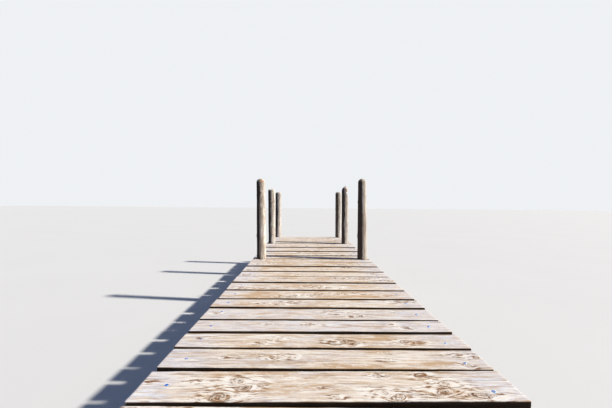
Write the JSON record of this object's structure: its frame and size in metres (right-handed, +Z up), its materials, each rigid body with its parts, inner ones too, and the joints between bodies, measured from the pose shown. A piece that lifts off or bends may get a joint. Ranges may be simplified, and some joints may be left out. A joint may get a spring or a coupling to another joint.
{
  "type": "wooden jetty",
  "caption": "Straight wooden jetty on pairs of round piles clasped by sawn headers, with stringers, a deck of cross boards, and tall round mooring posts at the outer end.",
  "frame": {"origin": "on the ground line, under the middle of the jetty's bounding box", "axes": "+Z up, +Y along the jetty from the shore end towards the tall posts at the outer end, +X to the right of someone walking out"},
  "size_m": [1.5036, 6.727, 1.62],
  "materials": {
    "deck_boards": "bleached, weathered softwood boards with knots, checks and grey patches",
    "round_piles": "weathered grey round logs with long drying checks",
    "sawn_timbers": "sawn softwood timbers, grey-brown and damp-stained"
  },
  "bodies": {
    "root": {"centre_stringer_1": "sawn_timbers", "centre_stringer_2": "sawn_timbers", "centre_stringer_3": "sawn_timbers", "deck_boards_1": "deck_boards", "deck_boards_2": "deck_boards", "deck_boards_3": "deck_boards", "deck_boards_4": "deck_boards", "deck_boards_5": "deck_boards", "header_1_far_side": "sawn_timbers", "header_1_near_side": "sawn_timbers", "header_2_far_side": "sawn_timbers", "header_2_near_side": "sawn_timbers", "header_3_far_side": "sawn_timbers", "header_3_near_side": "sawn_timbers", "header_4_far_side": "sawn_timbers", "header_4_near_side": "sawn_timbers", "header_5_far_side": "sawn_timbers", "header_5_near_side": "sawn_timbers", "header_6_far_side": "sawn_timbers", "header_6_near_side": "sawn_timbers", "low_pile_1_left": "round_piles", "low_pile_1_right": "round_piles", "low_pile_2_left": "round_piles", "low_pile_2_right": "round_piles", "low_pile_3_left": "round_piles", "low_pile_3_right": "round_piles", "post_far_left": "round_piles", "post_far_right": "round_piles", "post_middle_left": "round_piles", "post_middle_right": "round_piles", "post_near_left": "round_piles", "post_near_right": "round_piles", "stringer_1_left": "sawn_timbers", "stringer_1_right": "sawn_timbers", "stringer_2_left": "sawn_timbers", "stringer_2_right": "sawn_timbers", "stringer_3_left": "sawn_timbers", "stringer_3_right": "sawn_timbers", "stringer_4_left": "sawn_timbers", "stringer_4_right": "sawn_timbers", "stringer_5_left": "sawn_timbers", "stringer_5_right": "sawn_timbers"}
  },
  "joints": []
}
